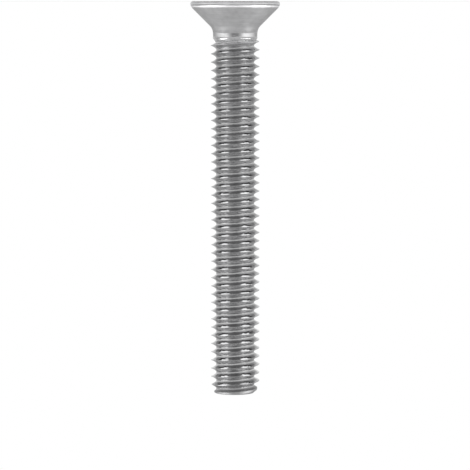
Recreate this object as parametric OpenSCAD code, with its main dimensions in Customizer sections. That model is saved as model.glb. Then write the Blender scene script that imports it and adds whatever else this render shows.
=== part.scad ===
// Countersunk machine screw with a cross recess, threaded along its whole shank.
// It stands on its flat head: the origin is the centre of the head's top face,
// and +Z runs along the shank to the tip. All sizes are in millimetres.

/* [Head] */
// Diameter of the head, over its rim
head_d = 10.75; // [9.8:0.05:12.6]
// Angle of the cone under the head, from side to side
cone_angle = 90; // [80:1:100]
// Height of the land around the rim, from the top face to the cone
land_h = 0.6; // [0.5:0.05:1]
// Rounding between the top face and the land
rim_r = 0.45; // [0.05:0.05:0.45]
// Radius of the fillet between the cone and the neck
fillet_r = 1.25; // [0.3:0.05:2]

/* [Cross recess] */
// Width over two opposite wings, at the top face
recess_w = 6.8; // [5.6:0.1:7.6]
// Depth of the wings at their outer ends
recess_depth = 3; // [1.8:0.1:3.2]
// Thickness of a wing, at the top face
wing_w = 2.2; // [1.4:0.1:2.6]
// Slope of the wings' sides, from the axis
wing_side_slope = 5.5; // [1:0.5:8]
// Slope of the wings' outer ends, from the axis
wing_end_slope = 26.5; // [20:0.5:28]
// Diameter of the core where the wings meet, at the top face
core_d = 3.9; // [3.2:0.1:4.6]
// Slope of the core's sides, from the axis
core_slope = 14; // [6:1:20]
// Angle of the point at the bottom, from side to side
point_angle = 146; // [130:1:170]

/* [Shank] */
// Length of the screw, from the top face to the tip
length = 47.3; // [16:0.1:52]
// Diameter of the plain neck, which the thread is rolled from
neck_d = 5.35; // [4.9:0.05:5.6]
// Length of the plain neck, from the foot of the cone to the thread
neck_h = 1.1; // [0.9:0.1:6]

/* [Thread] */
// Diameter over the crests
thread_d = 5.9; // [5.6:0.05:6.2]
// Distance from one turn to the next
pitch = 1; // [0.85:0.05:1.25]
// Angle of the groove, from flank to flank
flank_angle = 50; // [46:1:65]
// Width of the flat that is left on the crest
crest_flat = 0.04; // [0.04:0.02:0.16]
// Rounding at the bottom of the groove
groove_r = 0.28; // [0.1:0.02:0.3]
// Length over which the crest grows to its full height
crest_run_in = 0.8; // [0.4:0.1:3]
// Length over which the groove sinks to its full depth
groove_run_in = 0.3; // [0.2:0.1:2]
// Direction around the axis in which the crest leaves the neck
start_angle = 36; // [1:1:359]

/* [Tip] */
// Diameter of the flat end
tip_d = 5; // [3.6:0.1:5.4]
// Length of the tapered end
tip_h = 1.3; // [0.6:0.1:3]

/* [Hidden] */

// Facets of the turned surfaces
$fn = 96;
// Straight steps in one turn of the thread: a prime number, so that no corner of a step
// falls just on the edge of another surface
steps = 23;
// How far solids that become one reach into each other
lap = 0.1;
// How far a cut starts outside the surface that it goes into
clear = 0.5;

head_r = head_d / 2;
neck_r = neck_d / 2;
thread_r = thread_d / 2;
tip_r = tip_d / 2;

// The cone's foot is where its line meets the line of the neck
head_h = land_h + (head_r - neck_r) / tan(cone_angle / 2);
cone_foot = [neck_r, head_h];
thread_z = head_h + neck_h;

// The groove's flanks are straight down to the arc at its bottom, which touches them both
flank_slope = flank_angle / 2;
flank_depth = ((pitch - crest_flat) / 2 - groove_r * cos(flank_slope)) / tan(flank_slope);
root_r = thread_r - flank_depth - groove_r * (1 - sin(flank_slope));

// Radius at which the recess ends in its shallow point, and the height of that point
point_r = recess_w / 2 - recess_depth * tan(wing_end_slope);
point_h = point_r / tan(point_angle / 2);

// Where the straight line through two [radius, height] points reaches another radius or height
function height_at(r, a, b) = a.y + (b.y - a.y) * (r - a.x) / (b.x - a.x);
function radius_at(z, a, b) = a.x + (b.x - a.x) * (z - a.y) / (b.y - a.y);

// Head in half section, with its rounded rim
module head_section() {
    polygon([
        [0, 0],
        [head_r - rim_r, 0],
        [head_r, rim_r],
        [head_r, land_h],
        cone_foot,
        [0, head_h],
    ]);
    translate([head_r - rim_r, rim_r])
        circle(rim_r);
}

// Fillet in half section: the corner at the foot of the cone, less the circle that
// touches the cone and the neck
module fillet_section() {
    slope = cone_angle / 2;
    reach = fillet_r * tan((90 - slope) / 2);
    centre = cone_foot + [fillet_r, reach];
    difference() {
        polygon([
            cone_foot - [lap, 0],
            cone_foot + reach * [sin(slope), -cos(slope)],
            centre,
            [neck_r - lap, centre.y],
        ]);
        translate(centre)
            circle(fillet_r);
    }
}

// Neck in half section, down to the cone that fills the grooves where the thread starts
module neck_section() {
    groove_start = [neck_r, thread_z];
    groove_full = [root_r, thread_z + groove_run_in];
    core_r = root_r - lap;
    core_z = height_at(core_r, groove_start, groove_full);
    polygon([
        [0, head_h - lap],
        [neck_r, head_h - lap],
        groove_start,
        [core_r, core_z],
        [0, core_z],
    ]);
}

// One wing pair of the recess: a slab across the head that narrows with depth
module wing_pair() {
    bottom = recess_depth + point_h + clear;
    top_half = wing_w / 2 + clear * tan(wing_side_slope);
    bottom_half = wing_w / 2 - bottom * tan(wing_side_slope);
    rotate([90, 0, 0])
        linear_extrude(recess_w + 2 * clear, center = true)
            polygon([
                [-top_half, -clear],
                [top_half, -clear],
                [bottom_half, bottom],
                [-bottom_half, bottom],
            ]);
}

// Round core between the wings
module recess_core() {
    bottom = recess_depth + point_h + clear;
    translate([0, 0, -clear])
        cylinder(
            h = clear + bottom,
            r1 = core_d / 2 + clear * tan(core_slope),
            r2 = core_d / 2 - bottom * tan(core_slope)
        );
}

// Cross recess, kept within the cone of the wings' outer ends and the shallow point
module cross_recess() {
    intersection() {
        union() {
            for (turn = [0, 90])
                rotate(turn)
                    wing_pair();
            recess_core();
        }
        rotate_extrude()
            polygon([
                [0, -clear],
                [recess_w / 2 + clear * tan(wing_end_slope), -clear],
                [point_r, recess_depth],
                [0, recess_depth + point_h],
            ]);
    }
}

// Head and neck, as one turned blank with the recess pressed into it
module blank() {
    difference() {
        rotate_extrude()
            union() {
                head_section();
                fillet_section();
                neck_section();
            }
        cross_recess();
    }
}

// One pitch of the thread, as corners at [radius, height above the middle of the crest]:
// both edges of the crest, and the arc at the bottom of the groove
thread_form = [
    [thread_r, -crest_flat / 2],
    [thread_r, crest_flat / 2],
    for (side = [-1:1])
        let (angle = side * (90 - flank_slope))
        [root_r + groove_r * (1 - cos(angle)), pitch / 2 + groove_r * sin(angle)],
];

// Corner k, counted up along one ray, on ray j around the axis
function thread_point(j, k) =
    let (
        corner = thread_form[k % len(thread_form)],
        turn = j / steps + floor(k / len(thread_form))
    )
    [corner.x * cos(360 * turn), corner.x * sin(360 * turn), corner.y + pitch * turn];

// Right-hand threaded bar, one polyhedron, with a crest that leaves z = 0 on the +X side
module threaded_bar(turns) {
    form = len(thread_form);
    top = turns * form;
    ray = top + form + 1;
    points = [for (j = [0:steps - 1], k = [0:ray - 1]) thread_point(j, k)];
    // After the last ray comes the first one, a turn higher
    function at(j, k) = j < steps ? j * ray + k : k + form;
    flanks = [for (j = [0:steps - 1], k = [0:top - 1]) each [
        [at(j, k), at(j, k + 1), at(j + 1, k + 1)],
        [at(j, k), at(j + 1, k + 1), at(j + 1, k)],
    ]];
    // Each end is a fan around a point on the axis, closed where the turn starts
    foot = len(points);
    crown = foot + 1;
    fans = [for (j = [0:steps - 1]) each [
        [foot, at(j, 0), at(j + 1, 0)],
        [crown, at(j + 1, top), at(j, top)],
    ]];
    seams = [for (k = [0:form - 1]) each [
        [foot, at(0, k + 1), at(0, k)],
        [crown, at(0, top + k), at(0, top + k + 1)],
    ]];
    polyhedron(
        points = concat(points, [[0, 0, pitch / 2], [0, 0, pitch * (turns + 0.5)]]),
        faces = concat(flanks, fans, seams)
    );
}

// Space that the thread may fill: a cone where it leaves the neck, and the tapered tip
module thread_space() {
    crest_start = [neck_r, thread_z - lap];
    crest_full = [thread_r, thread_z - lap + crest_run_in];
    taper_start = [thread_r, length - tip_h];
    taper_end = [tip_r, length];
    low = crest_start.y - lap;
    wide = thread_r + clear;
    rotate_extrude()
        polygon([
            [0, low],
            [radius_at(low, crest_start, crest_full), low],
            [wide, height_at(wide, crest_start, crest_full)],
            [wide, height_at(wide, taper_start, taper_end)],
            taper_end,
            [0, length],
        ]);
}

// Thread: the bar within the thread's space. Its ends are not flat, so that it starts
// some turns low and goes on past the tip
module thread() {
    spare_turns = 2;
    bar_z = thread_z - spare_turns * pitch;
    turns = ceil((length - bar_z + crest_flat) / pitch);
    intersection() {
        translate([0, 0, bar_z])
            rotate(start_angle)
                threaded_bar(turns);
        thread_space();
    }
}

module screw() {
    color("silver") {
        blank();
        thread();
    }
}

screw();
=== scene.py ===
"""Countersunk machine screw, standing on its flat head in a plain light studio.

One closed mesh replaces the frame's solid. It has the solid's form and sizes, with
rounded edges, and is covered in satin zinc plating. All sizes are in millimetres, and are
turned into metres where a mesh, a material, a lamp or the camera is made.
"""
import math

import bpy
from mathutils import Matrix, Vector, noise


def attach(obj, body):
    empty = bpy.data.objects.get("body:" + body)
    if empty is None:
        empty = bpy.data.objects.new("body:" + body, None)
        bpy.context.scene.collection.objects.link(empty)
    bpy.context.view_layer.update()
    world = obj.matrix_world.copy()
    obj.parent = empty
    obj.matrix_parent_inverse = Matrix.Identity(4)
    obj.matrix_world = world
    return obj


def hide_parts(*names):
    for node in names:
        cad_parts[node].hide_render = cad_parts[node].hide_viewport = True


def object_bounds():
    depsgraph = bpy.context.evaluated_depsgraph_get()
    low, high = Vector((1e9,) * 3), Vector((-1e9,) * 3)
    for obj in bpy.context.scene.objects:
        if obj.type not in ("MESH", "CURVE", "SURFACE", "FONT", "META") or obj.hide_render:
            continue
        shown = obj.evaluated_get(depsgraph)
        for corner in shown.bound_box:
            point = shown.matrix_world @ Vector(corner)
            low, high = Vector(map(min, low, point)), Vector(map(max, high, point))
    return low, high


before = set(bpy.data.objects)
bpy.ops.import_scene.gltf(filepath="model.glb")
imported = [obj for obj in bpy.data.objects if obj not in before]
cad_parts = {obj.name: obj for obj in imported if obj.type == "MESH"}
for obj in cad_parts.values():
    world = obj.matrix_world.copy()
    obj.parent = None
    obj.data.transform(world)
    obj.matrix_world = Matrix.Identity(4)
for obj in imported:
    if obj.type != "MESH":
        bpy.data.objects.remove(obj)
CAD_LOW, CAD_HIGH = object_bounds()

MM = 0.001

# Head: its top face is at height 0, and its slopes are measured from the axis
HEAD_R = CAD_HIGH.x / MM
RIM_R = 0.3
CONE_SLOPE = math.radians(45)
FILLET_R = 1.25

# Land under the rim: it is crowned, and leans toward the cone
LAND_H = 0.6  # where the cone's line reaches the head's full width
LAND_R = 1.1  # radius of the crown
LAND_START = math.radians(12)  # slope next to the rim
LAND_END = math.radians(26)  # slope next to the cone

# Neck
NECK_R = 2.675
NECK_H = 1.1  # from the foot of the cone to the thread
NECK_LEAN = math.radians(4)  # slope where the fillet ends
HEAD_H = LAND_H + (HEAD_R - NECK_R) / math.tan(CONE_SLOPE)
FILLET_END = HEAD_H + FILLET_R * math.tan((math.pi / 2 - CONE_SLOPE) / 2)

# Cross recess in the top face
RECESS_R = 3.4
RECESS_DEPTH = 3.0
RECESS_LIP = 0.06  # rounding of its edge
WING_W = 2.2
WING_SIDE_SLOPE = math.radians(5.5)
WING_END_SLOPE = math.radians(26.5)
CORE_R = 1.95
CORE_SLOPE = math.radians(14)
POINT_SLOPE = math.radians(73)

# Thread: a slender crest between wide grooves, with slopes from the radial direction
LENGTH = CAD_HIGH.z / MM
THREAD_R = 2.95
PITCH = 1.0
CREST_ROUND = 0.03
CREST_SLOPE = math.radians(20)
CREST_H = 0.35  # depth of the knee, where the steep crest ends
FLANK_SLOPE = math.radians(38)
GROOVE_ROUND = 0.2

# Start of the thread
THREAD_Z = HEAD_H + NECK_H
THREAD_LAP = 0.1  # how far the crest starts below that height
CREST_RUN_IN = 0.7  # height over which the crest grows
GROOVE_RUN_IN = 0.6  # height over which the groove sinks
START_TURN = 0.1  # share of a turn around the axis at which the crest starts

# Wear of the crests
CREST_WEAR = 0.03  # greatest depth
WEAR_CHANGES = 1.3  # changes in a millimetre

# Tip
TIP_R = 2.5
TIP_H = 1.3
TIP_EDGE = 0.06  # rounding of its edge

# Mesh: columns around the axis, in eight equal parts
EIGHTH = 12
COLUMNS = 8 * EIGHTH
SHARP_ANGLE = math.radians(40)

# Mesh: steps along each stretch
RIM_STEPS = 8
LAND_STEPS = 6
SHOULDER_STEPS = 5
CONE_STEPS = 10
FILLET_STEPS = 10
NECK_STEPS = 8
WALL_STEPS = 5
CREST_STEPS = 2
GROOVE_STEPS = 4
TIP_STEPS = 2
SPARE_TURNS = 2  # turns of rows below the thread's start

# Mesh: places of single rows, as shares
RECESS_FLOOR = (0.4, 0.8, 1.0)  # of the width of the recess's floor
WALL_FOOT = 0.95  # of the recess's depth, at the foot of its wall
LIP_BEND = 0.3  # of the recess's lip
KNEE_BEFORE = 0.8  # of the way from the crest to the knee
KNEE_AFTER = 0.25  # of the way from the knee to the groove

# Plating: its colour, and how many times as bright it is in places, painted light and shade among
# them
ZINC = (0.58, 0.58, 0.585)
LAND_BURNISH_AND_HIGHLIGHT_TONE = 1.65  # on the land: its burnish, and a painted highlight
FLANK_SHADE_TONE = 0.62  # painted shade on the flank that faces the head
START_PAINTED_LIGHT_TONE = 1.25  # painted light that lifts the shade at the thread's start
TIP_TONE = 0.88  # at the sheared tip
CLOUD_TONES = (0.9, 1.05)
MARK_TONE = 0.05  # change in the marks of the dies, up or down
STREAK_TONE = 0.28  # further change in the marks at the thread's start

# Plating: where it changes
BURNISH_AND_HIGHLIGHT_EDGE = 0.18  # height over which the burnish and its painted highlight fade above the land
FORGED_EDGE = 0.1  # height over which the forged skin fades below the fillet's end
PRESS_LIGHT = 0.5  # height above the thread's start up to which the dies press lightly
PRESS_FULL = 1.4  # height above the thread's start from which they press fully
SHEAR_START = 1.5 * TIP_H  # height below the end from which the skin is sheared
SHEAR_FULL = 0.5 * TIP_H  # height below the end from which it is fully sheared
SHADED_FLANK_START = (0.6, 0.7)  # shares of a turn above the crest over which the painted shade on the flank grows in, then fades out
SHADED_FLANK_END = (0.84, 0.92)

# Plating: its roughness, and how far clouds and grain change it
ROLLED_ROUGH = 0.06
FORGED_ROUGH = 0.6
LAND_ROUGH = 0.3
START_ROUGH = 0.2
TIP_ROUGH = 0.45
CLOUD_ROUGH = 0.03
GRAIN_ROUGH = 0.05

# Plating: its clouds and grain, the marks of the dies, and the waves of the rolled skin
CLOUD_SIZE = 1.1
CLOUD_DETAIL = 4.0
GRAIN_SIZE = 0.15
GRAIN_DETAIL = 3.0
MARK_LENGTH = 2.5
MARK_WIDTH = 0.12
MARK_DEPTH = 0.005
WAVE_LENGTH = 0.9
WAVE_WIDTH = 0.4
GRAIN_DEPTH = 0.5  # in depths of a mark
WAVE_DEPTH = 10.0  # in depths of a mark

# Noise: the part of its range that is used, and how fine it is if nothing else is said
NOISE_LOW = 0.3
NOISE_HIGH = 0.7
PLAIN_DETAIL = 2.0

# Floor: a pale board that fades into the white backdrop
FLOOR_R = 4000.0
FLOOR_SIDES = 96
FLOOR_TONE = 0.85
FLOOR_CHANGE = 0.01
FLOOR_GRAIN = 17.0
FLOOR_ROUGH = 0.9
FADE_START = 60.0  # distance from the screw
FADE_END = 200.0

# Soft light: (degrees, radiance) around the screw, from the camera's side at 0 to the back
LOW = ((0, 0.35), (14, 0.35), (28, 0.7), (48, 1.5), (70, 1.5), (90, 1.2), (130, 0.6), (180, 0.4))
MIDDLE = ((0, 0.45), (35, 0.5), (52, 0.1), (110, 0.1), (135, 0.6), (180, 0.5))
HIGH = ((0, 0.3), (30, 0.4), (46, 1.0), (95, 0.9), (115, 0.4), (180, 0.3))
TOP = ((0, 0.64),)

# Soft light: its rings, the same on the left and on the right, each at an elevation
RINGS = ((8, LOW), (12, MIDDLE), (24, MIDDLE), (33, HIGH), (48, HIGH), (62, TOP))

# Softboxes on both sides, in degrees as seen from the screw's foot
SIDE_AZIMUTH = 75
SIDE_WIDTH = 44
SIDE_ELEVATIONS = (30, 50)
SIDE_DISTANCE = 500.0
SIDE_RADIANCE = 2.1

# White backdrop behind the screw, in degrees from its middle
BACKDROP_FULL = 5
BACKDROP_EDGE = 9
WHITE = (1.0, 1.0, 1.0, 1.0)

# Camera: level with the head, just above the floor, and aimed up at the shank
CAMERA_X = 0.02
CAMERA_DISTANCE = 350.0
CAMERA_HEIGHT = 0.02
AIM_HEIGHT = 28.145
VIEW_WIDTH = 56.6  # width of the picture at the screw
SENSOR = 36.0


def column_angle(column):
    """Angle of a column around the axis."""
    return 2 * math.pi * column / COLUMNS


def polar(radius, angle):
    """Place (x, y) at a radius from the axis."""
    return radius * math.cos(angle), radius * math.sin(angle)


def blend(a, b, share):
    """Value at a share of the way from a to b."""
    return a + (b - a) * share


def between(a, b, share):
    """Point at a share of the way from point a to point b."""
    return tuple(blend(p, q, share) for p, q in zip(a, b))


def moved(point, distance, angle):
    """Point of a half section at a distance from another one."""
    across, along = polar(distance, angle)
    return point[0] + across, point[1] + along


def arc(centre, radius, start, end, steps):
    """Points of a half section on an arc, with angles from the outward direction."""
    return [moved(centre, radius, blend(start, end, k / steps)) for k in range(steps + 1)]


def direction(azimuth, elevation):
    """Unit vector from angles in degrees, with azimuth 0 on the camera's side."""
    azimuth, elevation = math.radians(azimuth), math.radians(elevation)
    return Vector((math.sin(azimuth) * math.cos(elevation),
                   -math.cos(azimuth) * math.cos(elevation),
                   math.sin(elevation)))


class Shell:
    """A closed mesh made of rings of COLUMNS points around the axis."""

    def __init__(self):
        self.points = []
        self.faces = []

    def add(self, points):
        """Adds points, and returns their numbers."""
        first = len(self.points)
        self.points.extend(points)
        return list(range(first, len(self.points)))

    def circle(self, radius, height):
        """Adds a round ring."""
        return self.add([(*polar(radius, column_angle(j)), height) for j in range(COLUMNS)])

    def centre(self, height):
        """Adds one point on the axis, and returns it as a ring of that same point."""
        return self.add([(0.0, 0.0, height)]) * COLUMNS

    def face(self, *corners):
        """Adds a face, without the corners that fall together."""
        kept = [corner for k, corner in enumerate(corners) if corner != corners[k - 1]]
        if len(kept) > 2:
            self.faces.append(kept)

    def join(self, ring, next_ring):
        """Closes the strip between two rings, the next one further along the surface."""
        for j in range(COLUMNS):
            after = (j + 1) % COLUMNS
            self.face(ring[j], ring[after], next_ring[after], next_ring[j])

    def join_all(self, rings):
        """Closes the strips between rings that follow each other."""
        for ring, next_ring in zip(rings, rings[1:]):
            self.join(ring, next_ring)

    def mesh(self, name):
        """Makes the mesh, smooth but for its sharp edges."""
        mesh = bpy.data.meshes.new(name)
        mesh.from_pydata([Vector(p) * MM for p in self.points], [], self.faces)
        mesh.validate()
        mesh.shade_smooth()
        mesh.set_sharp_from_angle(angle=SHARP_ANGLE)
        return mesh


def recess_outline(depth):
    """Outline of the cross recess at a depth, as one (x, y) for each column."""
    end = RECESS_R - depth * math.tan(WING_END_SLOPE)
    half = WING_W / 2 - depth * math.tan(WING_SIDE_SLOPE)
    core = CORE_R - depth * math.tan(CORE_SLOPE)
    corner = math.asin(half / end)
    bay = math.asin(half / core)

    # An eighth: half of a wing's end, a wing's side, and half of the core's arc
    steps = EIGHTH // 3
    shares = [k / steps for k in range(steps)]
    eighth = [polar(end, corner * share) for share in shares]
    eighth += [(math.sqrt(blend(end, core, share) ** 2 - half ** 2), half) for share in shares]
    eighth += [polar(core, blend(bay, math.pi / 4, share)) for share in shares]

    middle = polar(core, math.pi / 4)
    quadrant = eighth + [middle] + [(y, x) for x, y in reversed(eighth[1:])]
    outline = []
    for _ in range(4):
        outline += quadrant
        quadrant = [(-y, x) for x, y in quadrant]
    return outline


def recess_rings(shell):
    """Rings of the recess, from its point to the edge of its mouth on the top face."""
    point_r = RECESS_R - RECESS_DEPTH * math.tan(WING_END_SLOPE)
    point_h = point_r / math.tan(POINT_SLOPE)
    rings = [shell.centre(RECESS_DEPTH + point_h)]
    floor = recess_outline(RECESS_DEPTH)
    for share in RECESS_FLOOR:
        scaled = [(share * x, share * y) for x, y in floor]
        rings.append(shell.add([
            (x, y, RECESS_DEPTH + point_h * (1 - math.hypot(x, y) / point_r)) for x, y in scaled]))
    for k in range(WALL_STEPS + 1):
        depth = blend(WALL_FOOT * RECESS_DEPTH, RECESS_LIP, k / WALL_STEPS)
        rings.append(shell.add([(x, y, depth) for x, y in recess_outline(depth)]))
    mouth = recess_outline(0)
    bend = LIP_BEND * RECESS_LIP
    for out, depth in ((bend, bend), (RECESS_LIP, 0.0)):
        wider = 1 + out / RECESS_R
        rings.append(shell.add([(x * wider, y * wider, depth) for x, y in mouth]))
    return rings


def land_section():
    """Half section of the rim, the crowned land and the shoulder that touches the cone."""
    rim_centre = (HEAD_R - RIM_R, RIM_R)
    rim = arc(rim_centre, RIM_R, -math.pi / 2, LAND_START, RIM_STEPS)
    land_centre = moved(rim_centre, RIM_R - LAND_R, LAND_START)
    land = arc(land_centre, LAND_R, LAND_START, LAND_END, LAND_STEPS)
    # The shoulder goes on from the land, with the radius at which it touches the cone
    to_cone = ((HEAD_R - land_centre[0]) * math.cos(CONE_SLOPE)
               + (LAND_H - land_centre[1]) * math.sin(CONE_SLOPE))
    bend = math.cos(CONE_SLOPE - LAND_END)
    shoulder_r = (to_cone - LAND_R * bend) / (1 - bend)
    shoulder_centre = moved(land_centre, LAND_R - shoulder_r, LAND_END)
    shoulder = arc(shoulder_centre, shoulder_r, LAND_END, CONE_SLOPE, SHOULDER_STEPS)
    return rim + land[1:] + shoulder[1:]


def neck_section(start):
    """Half section of the neck from the fillet on, which straightens evenly up to the thread."""
    radius, height = start
    length = THREAD_Z - THREAD_LAP - height
    inward = length * math.tan(NECK_LEAN)
    shares = [k / NECK_STEPS for k in range(1, NECK_STEPS + 1)]
    return [(radius - inward * (share - share ** 2 / 2), height + length * share)
            for share in shares]


def head_section():
    """Half section of the head and neck, as (radius, height), from the top face on."""
    land = land_section()
    fillet = arc((NECK_R + FILLET_R, FILLET_END), FILLET_R,
                 math.pi + CONE_SLOPE, math.pi + NECK_LEAN, FILLET_STEPS)
    cone = [between(land[-1], fillet[0], k / CONE_STEPS) for k in range(1, CONE_STEPS)]
    return land + cone + fillet + neck_section(fillet[-1])


def thread_form():
    """Points (radius, distance) of the thread, from the middle of a crest to that of a groove."""
    crest = arc((THREAD_R - CREST_ROUND, 0), CREST_ROUND, 0, math.pi / 2 - CREST_SLOPE, CREST_STEPS)
    knee_r = THREAD_R - CREST_H
    knee_away = crest[-1][1] + (crest[-1][0] - knee_r) * math.tan(CREST_SLOPE)
    touch = math.pi / 2 - FLANK_SLOPE
    foot_away = PITCH / 2 - GROOVE_ROUND * math.sin(touch)
    foot_r = knee_r - (foot_away - knee_away) / math.tan(FLANK_SLOPE)
    centre = (foot_r + GROOVE_ROUND * math.cos(touch), PITCH / 2)
    groove = arc(centre, GROOVE_ROUND, math.pi + touch, math.pi, GROOVE_STEPS)
    # A row on either side of the knee keeps the bend there narrow
    knee = (knee_r, knee_away)
    sides = [between(crest[-1], knee, KNEE_BEFORE), between(knee, groove[0], KNEE_AFTER)]
    return crest + sides + groove


FORM = thread_form()
ROOT_R = FORM[-1][0]


def form_radius(distance):
    """Radius of the full thread at a distance from the middle of a crest."""
    for (radius, away), (next_radius, next_away) in zip(FORM, FORM[1:]):
        if distance <= next_away:
            return blend(radius, next_radius, (distance - away) / (next_away - away))
    return ROOT_R


def shank_radius(angle, height):
    """Radius of the shank, with the thread's start at the neck and its taper at the tip."""
    turn = (height - THREAD_Z) / PITCH - angle / (2 * math.pi) + START_TURN
    distance = abs((turn + 0.5) % 1.0 - 0.5) * PITCH
    grown = height - THREAD_Z
    groove_floor = NECK_R - max(grown, 0.0) / GROOVE_RUN_IN * (NECK_R - ROOT_R)
    crest_top = NECK_R + max(grown + THREAD_LAP, 0.0) / CREST_RUN_IN * (THREAD_R - NECK_R)
    taper = blend(TIP_R, THREAD_R, (LENGTH - height) / TIP_H)
    radius = min(max(form_radius(distance), groove_floor), crest_top, taper)
    near_crest = max(0.0, (radius - NECK_R) / (THREAD_R - NECK_R))
    place = Vector((*polar(THREAD_R, angle), height))
    worn = 0.5 + 0.5 * noise.noise(place * WEAR_CHANGES)
    return radius - CREST_WEAR * near_crest ** 2 * worn


def thread_rows():
    """Heights of the rows in one turn, as shares of the pitch above the middle of a crest."""
    away = [distance / PITCH for _, distance in FORM]
    return away + [1 - share for share in reversed(away[1:-1])]


def thread_surface(shell, start, end):
    """Joins two rings by rows that climb around the axis with the crest."""
    rows = thread_rows()
    low = shell.points[start[0]][2]
    high = shell.points[end[0]][2]
    base = THREAD_Z - (SPARE_TURNS + START_TURN) * PITCH
    numbers = {}

    def corner(column, row):
        """Number of the point where a column meets a row. Past an end, it is on that end's ring."""
        if column == COLUMNS:
            return corner(0, row + len(rows))
        if (column, row) not in numbers:
            angle = column_angle(column)
            turn, k = divmod(row, len(rows))
            height = base + PITCH * (turn + rows[k] + angle / (2 * math.pi))
            if height <= low:
                numbers[column, row] = start[column]
            elif height >= high:
                numbers[column, row] = end[column]
            else:
                point = (*polar(shank_radius(angle, height), angle), height)
                numbers[column, row] = shell.add([point])[0]
        return numbers[column, row]

    turns = math.ceil((high - base) / PITCH) + 1
    for row in range(turns * len(rows)):
        for column in range(COLUMNS):
            shell.face(corner(column, row), corner(column + 1, row),
                       corner(column + 1, row + 1), corner(column, row + 1))


def tip_rings(shell):
    """Rings of the flat end, from its rounded edge to the axis."""
    rings = []
    for k in range(TIP_STEPS + 1):
        bend = k / TIP_STEPS * math.pi / 2
        inset = TIP_EDGE * (1 - math.cos(bend))
        height = LENGTH - TIP_EDGE * (1 - math.sin(bend))
        rings.append(shell.add([
            (*polar(shank_radius(column_angle(j), height) - inset, column_angle(j)), height)
            for j in range(COLUMNS)]))
    rings.append(shell.circle(TIP_R / 2, LENGTH))
    rings.append(shell.centre(LENGTH))
    return rings


def screw_mesh():
    """The whole screw, as one closed surface from the recess's point to the tip."""
    shell = Shell()
    rings = recess_rings(shell)
    rings += [shell.circle(radius, height) for radius, height in head_section()]
    shell.join_all(rings)
    end = tip_rings(shell)
    thread_surface(shell, rings[-1], end[0])
    shell.join_all(end)
    return shell.mesh("zinc_screw")


class Nodes:
    """Short calls for the nodes of a material or the world. Inputs are sockets or values."""

    def __init__(self, tree):
        self.tree = tree

    def fill(self, node, inputs):
        """Links or sets inputs of a node, by name or number."""
        for name, value in inputs.items():
            if isinstance(value, bpy.types.NodeSocket):
                self.tree.links.new(value, node.inputs[name])
            else:
                node.inputs[name].default_value = value

    def node(self, kind, inputs, **settings):
        """Adds a node."""
        node = self.tree.nodes.new(kind)
        for name, value in settings.items():
            setattr(node, name, value)
        self.fill(node, inputs)
        return node

    def math(self, operation, a, b=0.0):
        """Result of a calculation with one or two values."""
        return self.node("ShaderNodeMath", {0: a, 1: b}, operation=operation).outputs[0]

    def total(self, first, *others):
        """Sum of values."""
        for other in others:
            first = self.math("ADD", first, other)
        return first

    def product(self, first, *others):
        """Product of values."""
        for other in others:
            first = self.math("MULTIPLY", first, other)
        return first

    def spread(self, value, low, high, to_low, to_high):
        """Maps a value from one range to another, and keeps it inside."""
        inputs = {"Value": value, "From Min": low, "From Max": high,
                  "To Min": to_low, "To Max": to_high}
        return self.node("ShaderNodeMapRange", inputs).outputs[0]

    def rise(self, value, low, high):
        """Grows from 0 to 1 between two values."""
        return self.spread(value, low, high, 0.0, 1.0)

    def fall(self, value, low, high):
        """Shrinks from 1 to 0 between two values."""
        return self.spread(value, low, high, 1.0, 0.0)

    def blend(self, share, a, b):
        """Value between a and b, which is b where the share is 1."""
        return self.node("ShaderNodeMix", {0: share, 2: a, 3: b}).outputs[0]

    def mix(self, share, a, b):
        """Colour between a and b, which is b where the share is 1."""
        return self.node("ShaderNodeMix", {0: share, 6: a, 7: b}, data_type="RGBA").outputs[2]

    def vector(self, x, y, z):
        """Vector with the parts x, y and z."""
        return self.node("ShaderNodeCombineXYZ", {0: x, 1: y, 2: z}).outputs[0]

    def split(self, vector):
        """The x, y and z of a vector."""
        return tuple(self.node("ShaderNodeSeparateXYZ", {0: vector}).outputs)

    def length(self, vector):
        """Length of a vector."""
        node = self.node("ShaderNodeVectorMath", {0: vector}, operation="LENGTH")
        return node.outputs["Value"]

    def stretch(self, vector, across, along):
        """Multiplies a vector across the axis and along it."""
        inputs = {0: vector, 1: (across, across, along)}
        return self.node("ShaderNodeVectorMath", inputs, operation="MULTIPLY").outputs[0]

    def place(self):
        """Place on the piece, in millimetres from its origin."""
        metres = self.node("ShaderNodeTexCoord", {}).outputs["Object"]
        return self.stretch(metres, 1 / MM, 1 / MM)

    def noise(self, place, length, width, detail=PLAIN_DETAIL):
        """Noise around 0.5, with spots of a length across the axis and a width along it."""
        inputs = {"Vector": self.stretch(place, 1 / length, 1 / width),
                  "Scale": 1.0, "Detail": detail}
        return self.node("ShaderNodeTexNoise", inputs).outputs["Fac"]

    def vary(self, spots, low, high):
        """Spreads a noise over a range, the few highest and lowest spots cut off."""
        return self.spread(spots, NOISE_LOW, NOISE_HIGH, low, high)

    def ramp(self, turn, stops):
        """Grey light from (degrees, radiance) stops, where a turn of 1 is 180 degrees."""
        ramp = self.node("ShaderNodeValToRGB", {"Fac": turn})
        elements = ramp.color_ramp.elements
        while len(elements) < len(stops):
            elements.new(0.5)
        for element, (azimuth, radiance) in zip(elements, stops):
            element.position = azimuth / 180
            element.color = (radiance, radiance, radiance, 1.0)
        while len(elements) > len(stops):
            elements.remove(elements[-1])
        return ramp.outputs["Color"]


def turn_above_crest(nodes, x, y, z):
    """Share of a turn above the middle of the crest, which climbs around the axis."""
    climbed = nodes.math("DIVIDE", nodes.math("ARCTAN2", y, x), 2 * math.pi)
    risen = nodes.math("DIVIDE", nodes.math("SUBTRACT", z, THREAD_Z), PITCH)
    return nodes.math("FRACT", nodes.total(nodes.math("SUBTRACT", risen, climbed), START_TURN))


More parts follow.
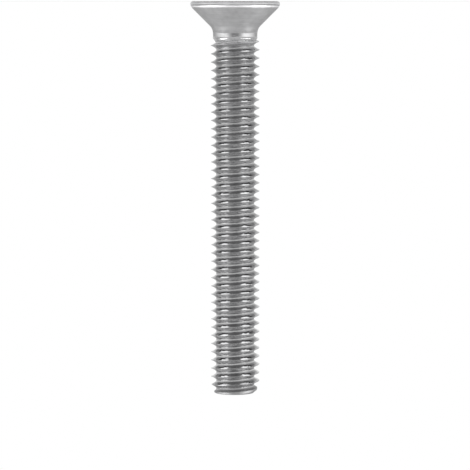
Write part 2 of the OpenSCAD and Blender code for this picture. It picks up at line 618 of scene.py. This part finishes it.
class Plating:
    """The zinc plating: the stretches of the screw where it changes, and its patterns."""

    def __init__(self, nodes):
        self.nodes = nodes
        place = nodes.place()
        x, y, z = nodes.split(place)
        radius = nodes.length(nodes.vector(x, y, 0.0))
        turn = turn_above_crest(nodes, x, y, z)

        # Stretches of the surface, each 1 on the stretch and 0 off it
        press = (THREAD_Z + PRESS_LIGHT, THREAD_Z + PRESS_FULL)
        self.on_head = nodes.fall(z, FILLET_END - FORGED_EDGE, FILLET_END)
        # On the land: its burnish, and a painted highlight in its colour
        self.on_land = nodes.product(nodes.rise(radius, HEAD_R - RIM_R, HEAD_R - RIM_R / 2),
                                     nodes.fall(z, LAND_H, LAND_H + BURNISH_AND_HIGHLIGHT_EDGE))
        self.on_thread = nodes.rise(z, THREAD_Z - THREAD_LAP, THREAD_Z)
        # Painted shade on the flank that faces the head, from where the dies press fully
        self.on_shaded_flank = nodes.product(nodes.rise(turn, *SHADED_FLANK_START), nodes.fall(turn, *SHADED_FLANK_END),
                                      nodes.rise(z, *press))
        # The thread's start: rougher and streaked, with painted light that lifts its shade
        self.at_start = nodes.product(self.on_thread, nodes.fall(z, *press))
        self.at_tip = nodes.rise(z, LENGTH - SHEAR_START, LENGTH - SHEAR_FULL)

        # Patterns: the dies leave marks around the head, and along the thread
        self.clouds = nodes.noise(place, CLOUD_SIZE, CLOUD_SIZE, CLOUD_DETAIL)
        self.grain = nodes.noise(place, GRAIN_SIZE, GRAIN_SIZE, GRAIN_DETAIL)
        self.waves = nodes.noise(place, WAVE_LENGTH, WAVE_WIDTH)
        along_thread = nodes.vector(x, y, nodes.product(turn, PITCH))
        self.marks = nodes.blend(self.on_thread, nodes.noise(place, MARK_LENGTH, MARK_WIDTH),
                                 nodes.noise(along_thread, MARK_LENGTH, MARK_WIDTH))

    def colour(self):
        """Zinc, with its tone in clouds, marks and stretches, and painted light: a highlight on the
        land, shade on the flank that faces the head, and light at the thread's start.
        """
        nodes = self.nodes
        streaks = nodes.product(self.at_start, nodes.vary(self.marks, -STREAK_TONE, STREAK_TONE))
        tone = nodes.total(nodes.vary(self.clouds, *CLOUD_TONES),
                           nodes.vary(self.marks, -MARK_TONE, MARK_TONE), streaks)
        # Painted highlight on the land, painted shade on the flank, painted light at the start,
        # darker at the tip
        tone = nodes.product(tone, nodes.blend(self.on_land, 1.0, LAND_BURNISH_AND_HIGHLIGHT_TONE),
                             nodes.blend(self.on_shaded_flank, 1.0, FLANK_SHADE_TONE),
                             nodes.blend(self.at_start, 1.0, START_PAINTED_LIGHT_TONE),
                             nodes.blend(self.at_tip, 1.0, TIP_TONE))
        scaled = {0: ZINC, "Scale": tone}
        return nodes.node("ShaderNodeVectorMath", scaled, operation="SCALE").outputs[0]

    def roughness(self):
        """Roughness of the stretches, changed by clouds and grain."""
        nodes = self.nodes
        rough = nodes.blend(self.on_head, ROLLED_ROUGH, FORGED_ROUGH)
        rough = nodes.blend(self.on_land, rough, LAND_ROUGH)
        rough = nodes.blend(self.at_start, rough, START_ROUGH)
        rough = nodes.blend(self.at_tip, rough, TIP_ROUGH)
        return nodes.total(rough, nodes.vary(self.clouds, CLOUD_ROUGH, -CLOUD_ROUGH),
                           nodes.vary(self.grain, GRAIN_ROUGH, 0.0))

    def bump(self):
        """Normal from the marks and the grain, and from the waves on the thread."""
        nodes = self.nodes
        relief = nodes.total(self.marks, nodes.product(self.grain, GRAIN_DEPTH),
                             nodes.product(self.waves, self.on_thread, WAVE_DEPTH))
        depth = {"Distance": MARK_DEPTH * MM, "Height": relief}
        return nodes.node("ShaderNodeBump", depth).outputs[0]


def zinc_material():
    """Zinc plating: satin on the forged head, and glossy and wavy on the rolled thread."""
    material = bpy.data.materials.new("satin_zinc")
    material.use_nodes = True
    nodes = Nodes(material.node_tree)
    plating = Plating(nodes)
    # The trimmed land has marks along the axis, which spread its light sideways
    around = nodes.node("ShaderNodeTangent", {}, direction_type="RADIAL", axis="Z")
    nodes.fill(material.node_tree.nodes["Principled BSDF"], {
        "Metallic": 1.0,
        "Base Color": plating.colour(),
        "Roughness": plating.roughness(),
        "Normal": plating.bump(),
        "Anisotropic": plating.on_land,
        "Tangent": around.outputs[0],
    })
    return material


def floor_material():
    """Pale matt board with a faint grain, which turns into the white backdrop far away."""
    material = bpy.data.materials.new("floor")
    material.use_nodes = True
    nodes = Nodes(material.node_tree)
    place = nodes.place()
    grain = nodes.noise(place, FLOOR_GRAIN, FLOOR_GRAIN)
    tone = nodes.vary(grain, FLOOR_TONE - FLOOR_CHANGE, FLOOR_TONE + FLOOR_CHANGE)
    grey = nodes.node("ShaderNodeCombineColor", {0: tone, 1: tone, 2: tone}).outputs[0]
    board = material.node_tree.nodes["Principled BSDF"]
    nodes.fill(board, {"Base Color": grey, "Roughness": FLOOR_ROUGH})

    path = nodes.node("ShaderNodeLightPath", {})
    seen = nodes.math("MAXIMUM", path.outputs["Is Camera Ray"], path.outputs["Is Glossy Ray"])
    far = nodes.product(seen, nodes.rise(nodes.length(place), FADE_START, FADE_END))
    white = nodes.node("ShaderNodeEmission", {"Strength": 1.0}).outputs[0]
    surface = nodes.node("ShaderNodeMixShader", {0: far, 1: board.outputs[0], 2: white})
    nodes.fill(material.node_tree.nodes["Material Output"], {"Surface": surface.outputs[0]})
    return material


def build_screw():
    """The screw, in place of the frame's solid."""
    mesh = screw_mesh()
    mesh.materials.append(zinc_material())
    screw = bpy.data.objects.new("zinc_screw", mesh)
    bpy.context.collection.objects.link(screw)
    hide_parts("screw")
    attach(screw, "root")


def build_floor():
    """The floor on which the screw stands."""
    bpy.ops.mesh.primitive_circle_add(vertices=FLOOR_SIDES, radius=FLOOR_R * MM, fill_type="NGON")
    floor = bpy.context.object
    floor.name = "floor"
    floor.data.materials.append(floor_material())


def light_world():
    """Soft light around and above, and white behind the screw for camera and metal."""
    world = bpy.data.worlds.new("studio")
    bpy.context.scene.world = world
    world.use_nodes = True
    nodes = Nodes(world.node_tree)
    x, y, z = nodes.split(nodes.node("ShaderNodeTexCoord", {}).outputs["Generated"])

    azimuth = nodes.math("ARCTAN2", x, nodes.math("MULTIPLY", y, -1.0))
    turn = nodes.math("DIVIDE", nodes.math("ABSOLUTE", azimuth), math.pi)
    below, stops = RINGS[0]
    light = nodes.ramp(turn, stops)
    for elevation, stops in RINGS[1:]:
        share = nodes.rise(z, math.sin(math.radians(below)), math.sin(math.radians(elevation)))
        light = nodes.mix(share, light, nodes.ramp(turn, stops))
        below = elevation

    seen = nodes.node("ShaderNodeLightPath", {}).outputs["Is Camera Ray"]
    behind = nodes.rise(y, math.cos(math.radians(BACKDROP_EDGE)),
                        math.cos(math.radians(BACKDROP_FULL)))
    colour = nodes.mix(nodes.math("MAXIMUM", seen, behind), light, WHITE)
    nodes.fill(world.node_tree.nodes["Background"], {"Color": colour})


def add_softbox(azimuth):
    """Area lamp beside the screw that fills a range of directions, seen from its foot."""
    low, high = SIDE_ELEVATIONS
    distance = SIDE_DISTANCE * MM
    outward = direction(azimuth, (low + high) / 2)
    data = bpy.data.lights.new("softbox", "AREA")
    data.shape = "RECTANGLE"
    data.size = 2 * distance * math.tan(math.radians(SIDE_WIDTH) / 2)
    data.size_y = 2 * distance * math.tan(math.radians(high - low) / 2)
    data.energy = SIDE_RADIANCE * math.pi * data.size * data.size_y
    lamp = bpy.data.objects.new("softbox", data)
    lamp.location = outward * distance
    lamp.rotation_euler = outward.to_track_quat("Z", "Y").to_euler()
    lamp.visible_camera = False
    bpy.context.collection.objects.link(lamp)


def add_camera():
    """Camera at head level, rolled so that the head is up in the picture."""
    data = bpy.data.cameras.new("camera")
    data.sensor_width = SENSOR
    data.lens = SENSOR * CAMERA_DISTANCE / VIEW_WIDTH
    camera = bpy.data.objects.new("camera", data)
    camera.location = Vector((CAMERA_X, -CAMERA_DISTANCE, CAMERA_HEIGHT)) * MM
    look = Vector((0, CAMERA_DISTANCE, AIM_HEIGHT - CAMERA_HEIGHT)).normalized()
    right = look.cross(Vector((0, 0, -1))).normalized()
    up = right.cross(look)
    camera.rotation_euler = Matrix((right, up, -look)).transposed().to_euler()
    bpy.context.collection.objects.link(camera)
    bpy.context.scene.camera = camera


build_screw()
build_floor()
light_world()
add_softbox(-SIDE_AZIMUTH)
add_softbox(SIDE_AZIMUTH)
add_camera()
bpy.context.scene.view_settings.view_transform = "Standard"
